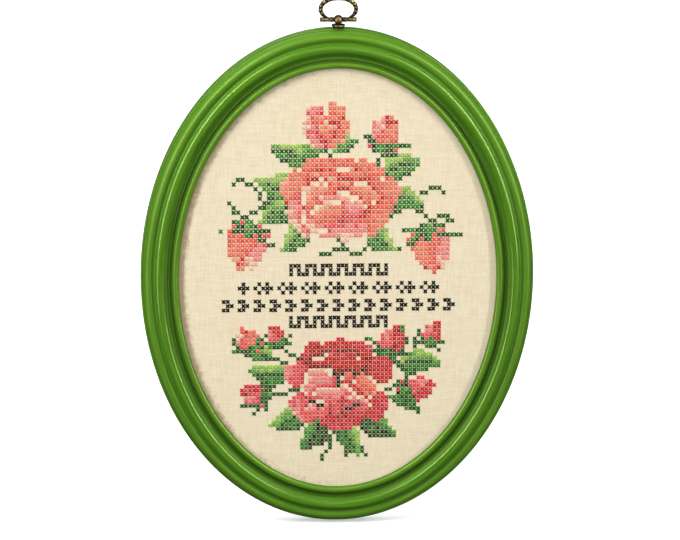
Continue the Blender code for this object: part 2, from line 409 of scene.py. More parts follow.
def make_frame(finish):
    """Spin the section into a ring, then draw the ring out to the oval."""
    section = moulding_profile()
    shape = bmesh.new()
    loop = [shape.verts.new((1.0 - inward, 0.0, height)) for inward, height in section]
    edges = [shape.edges.new((loop[i], loop[(i + 1) % len(loop)])) for i in range(len(loop))]
    bmesh.ops.spin(
        shape, geom=loop + edges, cent=(0, 0, 0), axis=(0, 0, 1), dvec=(0, 0, 0),
        angle=FULL_TURN, steps=MOULDING_STEPS, use_merge=True, use_duplicate=False,
    )
    bmesh.ops.remove_doubles(shape, verts=shape.verts, dist=MOULDING_MERGE)
    grain, glaze_and_shade = [], []
    middle = (HALF_WIDTH + HALF_HEIGHT) / 2 - MOULDING_WIDTH / 2
    for vert in shape.verts:
        inward = 1.0 - math.hypot(vert.co.x, vert.co.y)
        angle = math.atan2(vert.co.y, vert.co.x)
        height = vert.co.z
        across, upward = oval_point(angle, inward)
        climb = inward + height * GRAIN_CLIMB
        grain.append((middle * math.cos(angle), middle * math.sin(angle), climb))
        seen = height > BACK_HEIGHT or inward < SIDE_DEPTH
        # Glaze and painted shade, rubbed paint and painted sheen, and polish, only where they show.
        shade_sheen_polish = [nearest(table, inward) if seen else 0.0 for table in (GROOVES, HIGH_SPOTS, POLISHED)]
        glaze_and_shade.append(shade_sheen_polish)
        vert.co = (across, BACK_Y - height, CENTRE_Z + upward)
    bmesh.ops.recalc_face_normals(shape, faces=shape.faces)
    piece = finish_piece("moulded_frame", shape, finish, MOULDING_SMOOTH_ANGLE)
    point_attribute(piece.data, "grain", grain)
    point_attribute(piece.data, "glaze_and_shade", glaze_and_shade)
    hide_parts("frame_moulding")


# The linen

CLOTH_SIDE_GAP = 0.0005
CLOTH_THICKNESS = 0.0010
CLOTH_SPOKES = 192
CLOTH_SHARES = (
    0.985, 0.974, 0.969, 0.965, 0.961, 0.957, 0.952, 0.945, 0.935, 0.92,
    0.90, 0.87, 0.84, 0.78, 0.70, 0.60, 0.48, 0.36, 0.24, 0.12,
)
PUCKER_DEPTH = 0.0006
PUCKER_REACH = 0.14
# Width of the rim's stain and painted lip shadow.
RIM_STAIN_AND_SHADOW = 0.0080


def pucker(angle, share):
    """How far the stretched cloth dips back near its rim, uneven all round."""
    nearness = max(0.0, (share - (1.0 - PUCKER_REACH)) / PUCKER_REACH)
    wave = 0.5 + 0.3 * math.sin(7 * angle + 0.6) + 0.2 * math.sin(13 * angle + 2.1)
    fine = 0.18 * math.sin(41 * angle + 3.0 * math.sin(5 * angle)) * nearness
    return PUCKER_DEPTH * nearness * nearness * max(0.0, wave + fine)


def make_cloth(finish):
    """An oval of linen drawn tight, with soft puckers where it meets the frame."""
    rim_inset = MOULDING_WIDTH - RABBET_WIDTH + CLOTH_SIDE_GAP
    shape = bmesh.new()
    rim = shape.verts.layers.float.new("rim")
    bmesh.ops.create_circle(shape, cap_ends=True, segments=CLOTH_SPOKES, radius=1.0)
    reached = 1.0
    corner = math.cos(HALF_TURN / CLOTH_SPOKES)
    for share in CLOTH_SHARES:
        core = max(shape.faces, key=lambda face: len(face.verts))
        step = (reached - share) * corner
        bmesh.ops.inset_region(shape, faces=[core], thickness=step, use_boundary=True)
        reached = share
    core = max(shape.faces, key=lambda face: len(face.verts))
    bmesh.ops.poke(shape, faces=[core])
    for vert in shape.verts:
        share = math.hypot(vert.co.x, vert.co.y)
        angle = math.atan2(vert.co.y, vert.co.x)
        across, upward = oval_point(angle, rim_inset)
        inside = (1.0 - share) * math.hypot(across, upward) - (RABBET_WIDTH - CLOTH_SIDE_GAP)
        # The rim's stain and painted lip shadow: strongest at the frame, fading inwards, heavier on the
        # left.
        vert[rim] = (1.0 - ease(inside / RIM_STAIN_AND_SHADOW)) * (0.5 - 0.5 * math.cos(angle)) ** 2
        vert.co = (across * share, CLOTH_Y + pucker(angle, share), CENTRE_Z + upward * share)
    bmesh.ops.recalc_face_normals(shape, faces=shape.faces)
    if sum(face.normal.y for face in shape.faces) > 0:
        bmesh.ops.reverse_faces(shape, faces=shape.faces)
    piece = finish_piece("stretched_linen", shape, finish)
    thickness = piece.modifiers.new("thickness", "SOLIDIFY")
    thickness.thickness = CLOTH_THICKNESS
    thickness.offset = -1.0
    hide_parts("linen_cloth")
    return piece


# The hanger, all of it in millimetres until it is laid on the pin's axis

MILLIMETRE = 0.001
RING_HALF_WIDTH = 11.9
RING_HALF_HEIGHT = 7.75
RING_RADIUS = 1.45
CROWN_RADIUS = 1.7
FOOT_RADIUS = 1.0
FOOT_ANGLE = -55.0
RING_LIFT = 7.05
RING_STEPS = 200
RING_SIDES = 24
SPIN_RADIUS = 10.0
RELIEF_SHARE = 0.14
TURN_STEPS = 48
CROWN_END = 12.0
LEAVES_START = 18.0
LEAVES_RISE = 10.0
LEAVES_END = 112.0
FADE = 14.0
LEAF_COUNT = 9.5
LEAF_SLANT = 1.2
VEINS = 4.0
REEDS = 6.0
KNOTS = rows(("from_crown", "reach", "depth"), ((50.0, 5.0, 1.0), (33.0, 3.0, 0.7)))
BRASS_MERGE = 1e-4
BRASS_SMOOTH_ANGLE = 55
# How bright the brass is painted: wear on the high spots, a painted highlight on faces turned to the front,
# painted shade on faces turned away.
TURNED_WEAR_AND_HIGHLIGHT = 0.56
AWAY_SHARE = 0.15
FRONT_HIGHLIGHT = 0.95
TURNED = ("radius", "place", "wear_and_highlight")

BALL_POST = rows(TURNED, [
    (3.15 * math.sin(math.radians(angle)), 3.15 * math.cos(math.radians(angle)), 0.80)
    for angle in range(0, 133, 6)
] + [
    (2.15, -2.35, 0.15), (1.90, -2.50, 0.05), (1.95, -2.75, 0.05), (2.35, -2.95, 0.30), (2.75, -3.02, 0.30),
    (2.95, -3.15, 0.10), (3.40, -3.22, 0.25), (4.00, -3.26, 0.70), (4.35, -3.36, 0.95), (4.52, -3.62, 1.00),
    (4.55, -3.95, 0.95), (4.45, -4.25, 0.85), (4.15, -4.48, 0.60), (3.75, -4.56, 0.20), (3.50, -4.62, 0.05),
    (3.46, -4.90, 0.35), (3.52, -5.20, 0.45), (3.66, -5.50, 0.40), (3.66, -5.68, 0.10), (0.00, -5.68, 0.00),
])
PIN_BOSS = rows(TURNED, (
    (0.00, 0.00, 0.3), (1.40, 2.60, 0.0), (1.45, 3.30, 0.1), (1.80, 3.45, 0.8), (1.80, 3.75, 0.8),
    (1.48, 3.92, 0.0), (1.48, 4.10, 0.0), (1.72, 4.25, 0.8), (1.72, 5.20, 0.8), (1.62, 5.52, 0.6),
    (1.35, 5.72, 0.1), (0.00, 5.72, 0.0),
))
BARREL = rows(TURNED, (
    (0.00, 5.84, 0.0), (1.22, 5.84, 0.0), (1.46, 6.02, 0.7), (1.50, 6.80, 0.9), (1.28, 6.98, 0.1),
    (1.28, 7.12, 0.1), (1.50, 7.30, 0.8), (1.50, 9.20, 0.9), (1.50, 11.00, 0.8), (1.28, 11.18, 0.0),
    (1.28, 11.30, 0.0), (1.52, 11.48, 0.8), (1.55, 11.95, 0.9), (1.38, 12.22, 0.4), (0.00, 12.30, 0.1),
))
PIN = rows(TURNED, (
    (0.00, -12.62, 0.9), (0.34, -12.55, 0.9), (0.55, -12.34, 0.5), (0.55, 12.34, 0.5), (0.34, 12.55, 0.9),
    (0.00, 12.62, 0.9),
))


def shape_with_wear_and_highlight():
    """An empty shape whose points carry how bright they are, from wear and a painted highlight."""
    shape = bmesh.new()
    shape.verts.layers.float.new("wear_and_highlight")
    return shape


def turn_outline(shape, outline, axis):
    """Turn an outline about an axis through the middle of the pin."""
    wear_and_highlight = shape.verts.layers.float["wear_and_highlight"]
    axis = Vector(axis)
    chain = []
    for point in outline:
        vert = shape.verts.new(axis * point["place"] + Vector((0.0, -1.0, 0.0)) * point["radius"])
        vert[wear_and_highlight] = point["wear_and_highlight"] * TURNED_WEAR_AND_HIGHLIGHT
        chain.append(vert)
    edges = [shape.edges.new(pair) for pair in zip(chain, chain[1:])]
    bmesh.ops.spin(
        shape, geom=chain + edges, cent=(0, 0, 0), axis=axis, dvec=(0, 0, 0),
        angle=FULL_TURN, steps=TURN_STEPS, use_merge=True, use_duplicate=False,
    )


def brass_piece(name, node, shape, finish):
    """Close a brass shape, brighten its wear on faces turned to the front as a painted highlight and darken
    it on the rest as painted shade, and lay it where its solid is.
    """
    bmesh.ops.remove_doubles(shape, verts=shape.verts, dist=BRASS_MERGE)
    bmesh.ops.recalc_face_normals(shape, faces=shape.faces)
    shape.normal_update()
    wear_and_highlight = shape.verts.layers.float["wear_and_highlight"]
    for vert in shape.verts:
        # Painted highlight on faces turned to the front, painted shade on those turned away.
        vert[wear_and_highlight] *= AWAY_SHARE + FRONT_HIGHLIGHT * max(0.0, -vert.normal.y) ** 2
    bmesh.ops.scale(shape, verts=shape.verts, vec=(MILLIMETRE, MILLIMETRE, MILLIMETRE))
    bmesh.ops.translate(shape, verts=shape.verts, vec=(0.0, 0.0, PIN_Z))
    piece = finish_piece(name, shape, finish, BRASS_SMOOTH_ANGLE)
    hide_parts(node)


def rod_relief(degrees, side):
    """Height of the ring's cast relief, 0 to 1: leaves along its sides, reeds at its crown."""
    angle = math.radians(degrees)
    from_crown = abs(90.0 - degrees)
    crown = 1.0 - ease((from_crown - CROWN_END) / FADE)
    sides = ease((from_crown - LEAVES_START) / LEAVES_RISE) * (1.0 - ease((from_crown - LEAVES_END) / FADE))
    lean = 1.0 if degrees < 90.0 else -1.0
    leaf = abs(math.sin(LEAF_COUNT * angle * lean + LEAF_SLANT * math.cos(side)))
    vein = 0.5 + 0.5 * math.cos(VEINS * side)
    reed = 0.5 + 0.5 * math.cos(REEDS * side)
    knots = sum(
        knot["depth"] * math.exp(-((from_crown - knot["from_crown"]) / knot["reach"]) ** 2) for knot in KNOTS
    )
    return max(sides * leaf ** 2 * (0.55 + 0.45 * vein), crown * reed, min(1.0, knots))


def make_ring(finish):
    """The cast ring: a rod bent to an oval, thin at its feet, on two barrels."""
    shape = shape_with_wear_and_highlight()
    wear_and_highlight = shape.verts.layers.float["wear_and_highlight"]
    sweep = 180.0 - 2.0 * FOOT_ANGLE
    place = Matrix.Translation((SPIN_RADIUS, 0, 0))
    section = bmesh.ops.create_circle(
        shape, cap_ends=False, segments=RING_SIDES, radius=1.0, matrix=place,
    )
    loop = section["verts"]
    edges = list({edge for vert in loop for edge in vert.link_edges})
    shape.faces.new(loop)
    bmesh.ops.spin(
        shape, geom=loop + edges, cent=(0, 0, 0), axis=(0, -1, 0), dvec=(0, 0, 0),
        angle=math.radians(sweep), steps=RING_STEPS, use_merge=False, use_duplicate=False,
    )
    last = [edge for edge in shape.edges if edge.is_boundary]
    bmesh.ops.holes_fill(shape, edges=last, sides=RING_SIDES)
    for vert in shape.verts:
        reach = math.hypot(vert.co.x, vert.co.z)
        turn = max(0.0, (math.degrees(math.atan2(vert.co.z, vert.co.x)) + 1.0) % 360.0 - 1.0)
        degrees = FOOT_ANGLE + min(turn, sweep)
        side = math.atan2(-vert.co.y, reach - SPIN_RADIUS)
        angle = math.radians(degrees)
        rise = math.sin(angle)
        if rise > 0.0:
            radius = RING_RADIUS + (CROWN_RADIUS - RING_RADIUS) * rise * rise
        else:
            fall = rise / math.sin(math.radians(FOOT_ANGLE))
            radius = RING_RADIUS + (FOOT_RADIUS - RING_RADIUS) * fall * fall
        relief = rod_relief(degrees, side)
        radius *= 0.90 + RELIEF_SHARE * relief
        normal = Vector((RING_HALF_HEIGHT * math.cos(angle), 0.0, RING_HALF_WIDTH * rise)).normalized()
        middle = Vector((RING_HALF_WIDTH * math.cos(angle), 0.0, RING_LIFT + RING_HALF_HEIGHT * rise))
        outward = normal * math.cos(side) + Vector((0.0, -math.sin(side), 0.0))
        vert.co = middle + outward * radius
        # The worn relief is made brighter on the rod's side turned outward and to the front: a painted
        # highlight.
        lit_side = 0.5 + 0.5 * math.cos(side - 0.6)
        vert[wear_and_highlight] = (relief * 1.5 - 0.48) * (0.25 + 0.75 * lit_side)
    for way in (-1.0, 1.0):
        turn_outline(shape, BARREL, (way, 0.0, 0.0))
    brass_piece("cast_ring", "hanger_ring", shape, finish)


def make_post(finish):
    """The turned ball post on its flange, a boss at either side for the pin."""
    shape = shape_with_wear_and_highlight()
    turn_outline(shape, BALL_POST, (0.0, 0.0, 1.0))
    for way in (-1.0, 1.0):
        turn_outline(shape, PIN_BOSS, (way, 0.0, 0.0))
    brass_piece("ball_post", "hanger_post", shape, finish)


def make_pin(finish):
    """The plain pin, its ends rounded over outside the barrels."""
    shape = shape_with_wear_and_highlight()
    turn_outline(shape, PIN, (1.0, 0.0, 0.0))
    brass_piece("ring_pin", "hanger_pin", shape, finish)


# The stitched design, charted by functions on a grid of crosses

WARM = ("night", "wine", "crimson", "coral", "salmon", "peach", "blush")
COOL = ("night", "wine", "cherry", "rose", "pink", "blush", "blush")
DEEP = ("night", "wine", "crimson", "cherry", "rose", "salmon", "peach")
ROSY = (WARM, COOL, DEEP)
LEAFY = ("night", "forest", "green", "fern", "moss")


class Chart:
    """Crosses on a grid: a cell's column and row give its floss."""

    def __init__(self, seed):
        self.cells = {}
        self.random = random.Random(seed)

    def put(self, column, row, floss):
        if floss is None:
            self.cells.pop((column, row), None)
        else:
            self.cells[(column, row)] = floss

    def tone(self, ramp, value, spread=0.40):
        """A floss from a ramp, dark to light, a little uneven as hand shading is."""
        value += self.random.uniform(-spread, spread)
        return ramp[max(0, min(len(ramp) - 1, round(value)))]

    def bloom(self, x, y, wide, high, petals, bare=0.5, shade=1.3, turn=0.0, flare=0.24):
        """A flower of overlapping petals; later rows lie in front of earlier ones."""
        owner = {}
        lean = math.radians(turn)
        for index, p in enumerate(petals):
            across, up = p["across"] * wide, p["up"] * high
            px = x + across * math.cos(lean) - up * math.sin(lean)
            py = y + across * math.sin(lean) + up * math.cos(lean)
            pw, ph = p["wide"] * wide, p["high"] * high
            angle = math.radians(p["turn"]) + lean
            reach = math.ceil(max(pw, ph) * 1.3 + 1)
            for row in range(math.floor(py - reach), math.ceil(py + reach) + 1):
                for column in range(math.floor(px - reach), math.ceil(px + reach) + 1):
                    dx, dy = column - px, row - py
                    v = (-dx * math.sin(angle) + dy * math.cos(angle)) / ph
                    half = pw * (1.0 + flare * max(-1.0, min(1.0, v)))
                    u = (dx * math.cos(angle) + dy * math.sin(angle)) / half
                    if math.hypot(u, v) <= 1.0 + 0.05 * math.sin(5 * math.atan2(v, u) + index * 1.7):
                        owner[(column, row)] = (index, u, v)
        for (column, row), (index, u, v) in sorted(owner.items()):
            p = petals[index]
            rise = max(0.0, 0.5 + 0.5 * v)
            value = p["dark"] + (p["light"] - p["dark"]) * rise ** 1.1 - 0.9 * max(0.0, abs(u) - 0.55)
            beside = [owner.get((column + dc, row + dr)) for dc, dr in ((1, 0), (-1, 0), (0, 1), (0, -1))]
            behind = any(other and other[0] > index for other in beside)
            in_front = any(other and other[0] < index for other in beside)
            ramp = ROSY[p["ramp"]]
            floss = self.tone(ramp, value - shade if behind else value)
            if in_front and not behind and v > p["lip"]:
                wave = math.sin(3.6 * math.atan2(v, u) + index * 2.3)
                floss = None if wave > 1.0 - 2.0 * bare else self.tone(ramp, value + 0.8)
            self.put(column, row, floss)

    def leaf(self, x, y, long, wide, turn, dark=1.0, light=4.0, curve=0.0):
        """A pointed leaf from its foot: dark below its vein, light above, darkest along it."""
        angle = math.radians(turn)
        reach = math.ceil(long + 2)
        for row in range(math.floor(y - reach), math.ceil(y + reach) + 1):
            for column in range(math.floor(x - reach), math.ceil(x + reach) + 1):
                across, up = column - x, row - y
                u = (across * math.cos(angle) + up * math.sin(angle)) / long
                if not -0.03 <= u <= 1.02:
                    continue
                held = max(0.0, min(1.0, u))
                bend = curve * long * math.sin(HALF_TURN * held)
                v = -across * math.sin(angle) + up * math.cos(angle) - bend
                half = wide * 0.5 * math.sin(HALF_TURN * held ** 0.75) + 0.3
                if abs(v) > half:
                    continue
                lit = v if math.cos(angle) >= 0 else -v
                value = (dark + light) / 2 + (light - dark) * 0.55 * lit / half
                if abs(v) < 0.5 and wide > 3.2 and u < 0.8:
                    value = dark
                self.put(column, row, self.tone(LEAFY, value, 0.35))

    def stem(self, *points, floss="forest"):
        """A line of crosses through the points, stepping corner to corner."""
        for (x0, y0), (x1, y1) in zip(points, points[1:]):
            steps = max(1, round(max(abs(x1 - x0), abs(y1 - y0))))
            for step in range(steps + 1):
                share = step / steps
                self.put(round(x0 + (x1 - x0) * share), round(y0 + (y1 - y0) * share), floss)

    def bud(self, x, y, size, turn, petals):
        """A half open bud: petals out of a calyx whose sepals flare beside them."""
        out = math.radians(turn)
        self.bloom(x, y, size, size, petals, bare=0.10, shade=1.0, turn=turn, flare=-0.42)
        foot_x, foot_y = x + math.sin(out) * size * 0.95, y - math.cos(out) * size * 0.95
        for spread, reach in SEPALS:
            way = turn + 90 + spread
            self.leaf(foot_x, foot_y, size * reach, 0.5, way, 0.6, 1.6, curve=-spread / 420)
        self.leaf(foot_x, foot_y, size * 0.7, 2.2, turn + 90, 0.8, 2.6)


LEAVES = ("x", "y", "long", "wide", "turn", "dark", "light", "curve")
SEPALS = ((60, 1.6), (-62, 1.5), (84, 1.0), (-86, 0.9))
PETALS = ("across", "up", "wide", "high", "turn", "dark", "light", "lip", "ramp")

OPEN_ROSE = rows(PETALS, (
    (-0.44, 0.62, 0.30, 0.36, 22, 2.4, 4.2, 2.0, 0),
    (0.04, 0.68, 0.36, 0.32, -4, 2.6, 3.8, 2.0, 0),
    (0.50, 0.58, 0.32, 0.36, -26, 2.2, 4.4, 0.2, 0),
    (-0.74, 0.20, 0.30, 0.46, 62, 2.6, 4.8, 0.3, 0),
    (0.78, 0.08, 0.28, 0.50, -70, 2.2, 4.4, 0.3, 0),
    (-0.62, -0.42, 0.34, 0.44, 124, 2.6, 5.0, 2.0, 1),
    (0.62, -0.46, 0.34, 0.42, -124, 2.4, 4.4, 2.0, 0),
    (0.06, -0.68, 0.46, 0.36, 180, 2.6, 4.8, 2.0, 1),
    (-0.40, -0.50, 0.26, 0.34, 150, 2.8, 5.4, 0.1, 1),
    (0.00, 0.30, 0.52, 0.42, 0, 2.0, 3.8, 0.2, 0),
    (0.02, 0.14, 0.38, 0.36, 0, 1.4, 3.0, 2.0, 0),
    (-0.10, 0.20, 0.15, 0.28, 18, 2.2, 4.4, 0.0, 0),
    (0.16, 0.14, 0.16, 0.26, -22, 2.0, 3.8, 0.0, 0),
    (-0.38, 0.00, 0.27, 0.44, 30, 2.8, 5.4, -0.1, 0),
    (0.40, -0.04, 0.27, 0.42, -30, 2.4, 4.6, -0.1, 0),
    (0.06, -0.22, 0.40, 0.34, -6, 2.8, 5.2, 0.0, 1),
    (-0.20, -0.36, 0.30, 0.28, 14, 2.6, 5.6, 0.1, 0),
))

FULL_ROSE = rows(PETALS, (
    (-0.46, 0.66, 0.30, 0.40, 22, 1.6, 2.6, 2.0, 2),
    (-0.04, 0.80, 0.30, 0.32, 4, 1.6, 2.8, 2.0, 2),
    (0.42, 0.72, 0.30, 0.36, -18, 1.6, 3.0, 2.0, 2),
    (0.80, 0.30, 0.30, 0.44, -56, 1.8, 3.0, 0.4, 2),
    (-0.78, 0.22, 0.28, 0.46, 66, 2.0, 3.8, 0.4, 1),
    (0.66, -0.42, 0.36, 0.46, -118, 1.6, 3.4, 2.0, 2),
    (-0.66, -0.48, 0.38, 0.40, 128, 1.8, 4.4, 0.4, 1),
    (0.08, -0.76, 0.46, 0.30, 184, 1.6, 3.4, 2.0, 2),
    (0.02, 0.40, 0.60, 0.40, 0, 1.4, 2.6, 0.4, 2),
    (0.06, 0.16, 0.40, 0.20, 0, -0.8, 1.0, 2.0, 2),
    (0.26, 0.06, 0.20, 0.24, -16, 2.2, 4.0, 0.0, 0),
    (-0.38, 0.02, 0.36, 0.44, 38, 3.0, 4.8, -0.1, 1),
    (0.50, -0.10, 0.28, 0.40, -40, 2.4, 4.4, 0.0, 0),
    (-0.06, -0.32, 0.50, 0.32, 6, 2.6, 4.6, 0.0, 1),
    (0.38, -0.50, 0.30, 0.30, -20, 1.6, 4.2, 0.2, 1),
    (-0.46, -0.60, 0.26, 0.24, 14, 2.4, 4.4, 0.2, 1),
))

YOUNG_BLOOM = rows(PETALS, (
    (-0.46, 0.56, 0.44, 0.48, 30, 3.0, 4.6, 2.0, 1),
    (0.42, 0.58, 0.44, 0.46, -30, 2.8, 4.8, 2.0, 0),
    (-0.66, -0.06, 0.42, 0.48, 84, 3.0, 5.0, 0.4, 1),
    (0.66, -0.10, 0.42, 0.48, -88, 2.8, 4.6, 0.4, 0),
    (-0.34, -0.58, 0.44, 0.44, 150, 2.6, 4.6, 2.0, 1),
    (0.36, -0.60, 0.44, 0.42, -150, 2.8, 4.6, 0.5, 0),
    (0.00, 0.16, 0.44, 0.46, 0, 2.4, 4.2, 0.1, 0),
    (0.04, -0.18, 0.38, 0.36, 0, 2.6, 5.0, 0.2, 0),
))

ROSEBUD = rows(PETALS, (
    (0.06, 0.30, 0.56, 0.80, 0, 2.6, 3.8, 2.0, 0),
    (-0.28, 0.00, 0.58, 0.92, 10, 3.0, 4.9, 2.0, 1),
    (0.30, -0.10, 0.54, 0.84, -10, 2.8, 4.4, 2.0, 0),
))

DEEP_BUD = rows(PETALS, (
    (0.02, 0.36, 0.44, 0.80, 0, 1.8, 3.0, 2.0, 2),
    (0.26, 0.00, 0.44, 0.88, -8, 2.2, 3.4, 2.0, 2),
    (-0.24, -0.08, 0.46, 0.86, 8, 2.4, 4.0, 2.0, 1),
))


def upper_spray():
    """A pale open rose with a young bloom, a bud above and a hanging bud at either side."""
    chart = Chart(11)
    chart.stem((-12, -3), (-15, -1), (-18, -2), (-21, -4))
    chart.stem((-17, -1), (-19, 2), (-22, 4), (-24, 3))
    chart.stem((-21, -4), (-24, -3), (-25, -1))
    chart.stem((12, -4), (15, -2), (19, -3), (21, -5))
    chart.stem((16, -2), (19, 1), (22, 2), (24, 1))
    chart.stem((21, -5), (24, -4), (26, -5))
    chart.stem((-3, 11), (-2, 8))
    chart.stem((10, 9), (8, 6))
    chart.stem((0, -8), (1, -11), (4, -12), (6, -11))
    chart.stem((1, -10), (-2, -12), (-4, -12))
    for leaf in rows(LEAVES, (
        (-7, 6, 10, 4.8, 150, 1.4, 4.2, -0.1),
        (-9, 2, 10, 5.8, 170, 1.4, 4.2, 0.08),
        (-10, -2, 9, 5.0, 205, 1.2, 3.8, -0.1),
        (10, 4, 9.5, 5.2, 24, 1.4, 4.2, 0.1),
        (11, 0, 8.5, 5.0, -12, 1.4, 4.2, 0.1),
        (-8, -5, 8, 5.0, 232, 1.3, 4.0, 0.1),
        (7, -5, 9, 5.2, -48, 1.3, 4.2, -0.1),
        (-4, 10, 6, 3.2, 196, 1.3, 3.6, -0.1),
        (-1, 10, 6, 3.0, 20, 1.3, 3.6, 0.1),
    )):
        chart.leaf(**leaf)
    chart.bloom(-3, 15.2, 5.0, 4.6, YOUNG_BLOOM, bare=0.0, shade=1.0)
    chart.bud(10.6, 13.0, 4.4, -12, ROSEBUD)
    chart.bud(-21.0, -10.0, 5.4, 168, ROSEBUD)
    chart.bud(21.0, -10.6, 5.4, 194, ROSEBUD)
    chart.bloom(0, 0, 12.6, 8.6, OPEN_ROSE, bare=0.45, shade=0.75)
    return chart


def lower_spray():
    """A deep full rose among buds, with leaves fanned out below it."""
    chart = Chart(23)
    chart.stem((-9, 7), (-12, 8), (-14, 10))
    chart.stem((-11, 5), (-16, 7), (-20, 9))
    chart.stem((-10, -1), (-15, -2), (-18, -2))
    chart.stem((-20, 7), (-25, 9), (-26, 12))
    chart.stem((9, 7), (12, 8))
    chart.stem((10, 4), (16, 7), (20, 8), (22, 10))
    chart.stem((20, 8), (19, 11), (20, 14))
    chart.stem((12, -1), (16, 0))
    chart.stem((-1, -10), (-2, -15), (-4, -19))
    chart.stem((1, -10), (3, -15), (2, -18))
    chart.stem((3, -14), (6, -16), (7, -18))
    chart.stem((-17, -3), (-21, -5), (-24, -5))
    for leaf in rows(LEAVES, (
        (-17, 7, 9, 4.6, 136, 1.2, 4, 0.1),
        (-12, 3, 11, 5.4, 172, 1.2, 4, 0.1),
        (15, 5, 11, 5.8, 2, 1.2, 4.2, 0.1),
        (13, 8, 8, 4.0, 70, 1, 4, -0.1),
        (-8, -6, 10, 6.0, 206, 1, 4, 0.08),
        (-4, -8, 10, 5.8, 238, 0.4, 2.6, 0.1),
        (2, -9, 10, 5.2, -70, 1, 4.2, -0.1),
        (6, -7, 11, 5.8, -36, 0.4, 2.8, -0.08),
        (13, -3, 8, 3.0, -26, 0.8, 3.2, 0.1),
    )):
        chart.leaf(**leaf)
    chart.bud(-15.6, 12.6, 3.2, 20, DEEP_BUD)
    chart.bud(-22.4, 11.6, 3.6, 30, ROSEBUD)
    chart.bud(-20.6, -2.2, 4.0, 80, DEEP_BUD)
    chart.bud(13.0, 10.8, 4.6, -20, DEEP_BUD)
    chart.bud(23.4, 12.8, 3.6, -18, DEEP_BUD)
    chart.bud(19.4, -1.0, 4.6, -72, DEEP_BUD)
    chart.bloom(0, 0, 11.4, 10.8, FULL_ROSE, bare=0.42, shade=0.9)
    chart.stem((-7, -4), (-4, -5), floss="night")
    chart.stem((2, -6), (5, -5), floss="night")
    return chart


SPRAYS = rows(("chart", "name", "x", "lift", "wide", "high", "seed"), (
    (upper_spray, "upper_spray", 0.0004, 0.0568, 0.00296, 0.00325, 3),
    (lower_spray, "lower_spray", 0.0006, -0.0747, 0.00274, 0.00274, 4),
))

BAND_REPEATS = (
    ("xxx.", "x.x.", "x.xx"),
    (".x...x", "xxx.x.", ".x...x"),
    ("xx..", ".xx.", "xx.."),
    ("x.xx", "x.x.", "xxx."),
)
BAND_WIDTHS = (25, 51, 59, 25)
BAND_HEIGHTS = (0.0068, -0.0058, -0.0180, -0.0296)
BAND_X = 0.0005
BAND_PITCH = (0.00269, 0.00298)
FIRST_BAND_SEED = 5


def band(index):
    """A dark border row, three crosses high, from a small traditional repeat."""
    chart = Chart(index)
    repeat = BAND_REPEATS[index]
    width = BAND_WIDTHS[index]
    for column in range(width):
        for row, line in enumerate(reversed(repeat)):
            if line[column % len(line)] == "x":
                chart.put(column - width // 2, row - 1, "night")
    return chart


# Stitches

LEG_SIDES = 6
LEG_RINGS = 6
FLOSS_WIDTH = 0.00122
FLOSS_THICKNESS = 0.00046
LEG_REACH = 0.90
LEG_BLUNTNESS = 0.35
BOW = 0.0002
OVERLAP_LIFT = 0.00030
SINK = 0.00004
PLACE_LUCK = 0.03
REACH_LUCK = 0.03
TURN_LUCK = 0.04
WIDTH_LUCK = 0.08


def leg_template():
    """One puffy leg of a cross along X, its two ends dipping into the cloth."""
    shape = bmesh.new()
    bmesh.ops.create_uvsphere(shape, u_segments=LEG_SIDES, v_segments=LEG_RINGS, radius=1.0)
    along_x = Matrix.Rotation(HALF_TURN / 2, 3, "Y")
    bmesh.ops.rotate(shape, verts=shape.verts, cent=(0, 0, 0), matrix=along_x)
    shape.verts.ensure_lookup_table()
    points = []
    for vert in shape.verts:
        along = max(-1.0, min(1.0, vert.co.x))
        ring = math.hypot(vert.co.y, vert.co.z)
        full = ring ** LEG_BLUNTNESS if ring > 1e-6 else 0.0
        side = vert.co.y / ring * full if ring > 1e-6 else 0.0
        rise = vert.co.z / ring * full if ring > 1e-6 else 0.0
        points.append((along, side, rise))
    faces = [[vert.index for vert in face.verts] for face in shape.faces]
    shape.free()
    return np.array(points), faces


